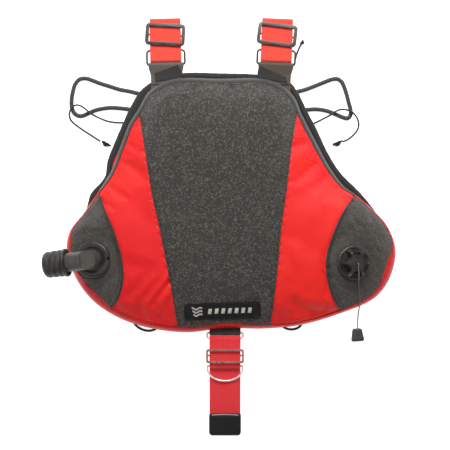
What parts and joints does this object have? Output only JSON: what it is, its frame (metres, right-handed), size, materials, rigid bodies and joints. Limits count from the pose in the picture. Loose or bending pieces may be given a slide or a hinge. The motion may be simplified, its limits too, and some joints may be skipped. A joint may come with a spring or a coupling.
{
  "type": "buoyancy compensator vest",
  "caption": "Side-mount buoyancy vest with padded back, red and grey air cell, swivelling inflator elbow, pull dump valve, webbing shoulder loops, crotch strap and elastic cords.",
  "frame": {"origin": "underside of the back pad, where it rests, on the vest's long axis", "axes": "+Z out of the air cell, +Y towards the head end, +X towards the dump valve"},
  "size_m": [0.5636, 0.6753, 0.0765],
  "materials": {
    "black_fabric": "coated woven nylon",
    "grey_fabric": "coarse speckled ballistic weave",
    "red_fabric": "smooth coated nylon",
    "red_webbing": "ribbed webbing",
    "bladder_film": "urethane film",
    "black_plastic": "moulded",
    "black_rubber": "moulded rubber",
    "steel": "polished stainless wire",
    "black_steel": "black coated wire",
    "cord": "braided sheath"
  },
  "bodies": {
    "vest": {"back_pad": "black_fabric", "yoke_webbing": "red_webbing", "spine_webbing": "red_webbing", "rear_shell": "black_fabric", "air_bladder": "bladder_film", "centre_panel": "grey_fabric", "red_panel_left": "red_fabric", "red_panel_right": "red_fabric", "valve_patch_left": "grey_fabric", "valve_patch_right": "grey_fabric", "piping_left": "black_fabric", "piping_right": "black_fabric", "bottom_hem": "red_fabric", "top_binding": "black_fabric", "label": "black_rubber", "inflator_flange": "black_plastic", "inflator_gasket": "black_rubber", "inflator_nut": "black_plastic", "elbow_o_ring": "black_rubber", "dump_flange": "black_plastic", "dump_gasket": "black_rubber", "dump_base": "black_plastic", "dump_cap": "black_plastic", "dump_spring": "steel", "bungee_left": "cord", "light_cord_left": "cord", "bungee_right": "cord", "light_cord_right": "cord", "knot_left": "cord", "knot_right": "cord", "hem_loop_left": "cord", "hem_loop_right": "cord", "shoulder_tab_left": "black_fabric", "shoulder_tab_right": "black_fabric", "crotch_tab": "black_fabric"},
    "elbow": {"inflator_elbow": "black_plastic", "hose_collar": "black_plastic", "hose_cuff": "black_rubber"},
    "poppet": {"dump_poppet": "black_rubber"},
    "pull": {"pull_cord": "cord", "pull_toggle": "black_rubber"},
    "shoulder_left": {"shoulder_ring_left": "black_steel", "shoulder_strap_left": "red_webbing"},
    "slide_left": {"shoulder_slide_left": "black_plastic"},
    "shoulder_right": {"shoulder_ring_right": "black_steel", "shoulder_strap_right": "red_webbing", "ring_cord": "cord", "ring_knot": "cord"},
    "slide_right": {"shoulder_slide_right": "black_plastic"},
    "crotch": {"crotch_ring": "steel", "crotch_strap": "red_webbing", "end_sleeve": "black_rubber"},
    "crotch_adjuster": {"crotch_slide": "steel"},
    "d_ring": {"crotch_d_ring": "steel"}
  },
  "joints": [
    {"name": "elbow_swivel", "type": "hinge", "parent": "vest", "child": "elbow", "pos_m": [-0.206, -0.055, 0.03669], "axis": [-0.2419, 0, 0.9703], "continuous": true},
    {"name": "pull_release", "type": "slide", "parent": "vest", "child": "pull", "axis": [0, -1, 0], "range_m": [0, 0.006], "stiffness_N_per_m": 150, "deforming": ["pull_cord"]},
    {"name": "poppet_lift", "type": "slide", "parent": "vest", "child": "poppet", "axis": [0.2756, 0, 0.9613], "range_m": [0, 0.006], "deforming": ["dump_spring"]},
    {"name": "shoulder_swing_left", "type": "hinge", "parent": "vest", "child": "shoulder_left", "pos_m": [-0.092, 0.2575, 0.01225], "axis": [0.9997, 0.0262, 0], "range_deg": [0, 120]},
    {"name": "slide_travel_left", "type": "slide", "parent": "shoulder_left", "child": "slide_left", "axis": [-0.026, 0.9942, -0.1039], "range_m": [-0.004, 0.007]},
    {"name": "shoulder_swing_right", "type": "hinge", "parent": "vest", "child": "shoulder_right", "pos_m": [0.085, 0.2575, 0.01225], "axis": [0.9991, -0.0419, 0], "range_deg": [0, 120]},
    {"name": "slide_travel_right", "type": "slide", "parent": "shoulder_right", "child": "slide_right", "axis": [0.0416, 0.9937, -0.1039], "range_m": [-0.003, 0.007]},
    {"name": "crotch_swing", "type": "hinge", "parent": "vest", "child": "crotch", "pos_m": [0.003, -0.1733, 0.01225], "axis": [-1, 0, 0], "range_deg": [0, 105]},
    {"name": "adjuster_travel", "type": "slide", "parent": "crotch", "child": "crotch_adjuster", "axis": [0, -0.9981, -0.0611], "range_m": [-0.005, 0.002]},
    {"name": "d_ring_flip", "type": "hinge", "parent": "crotch", "child": "d_ring", "pos_m": [0.003, -0.2275, 0.00893], "axis": [-1, 0, 0], "range_deg": [0, 95]}
  ],
  "couplings": [
    {"joint": "poppet_lift", "follows": "pull_release", "ratio": 1}
  ]
}
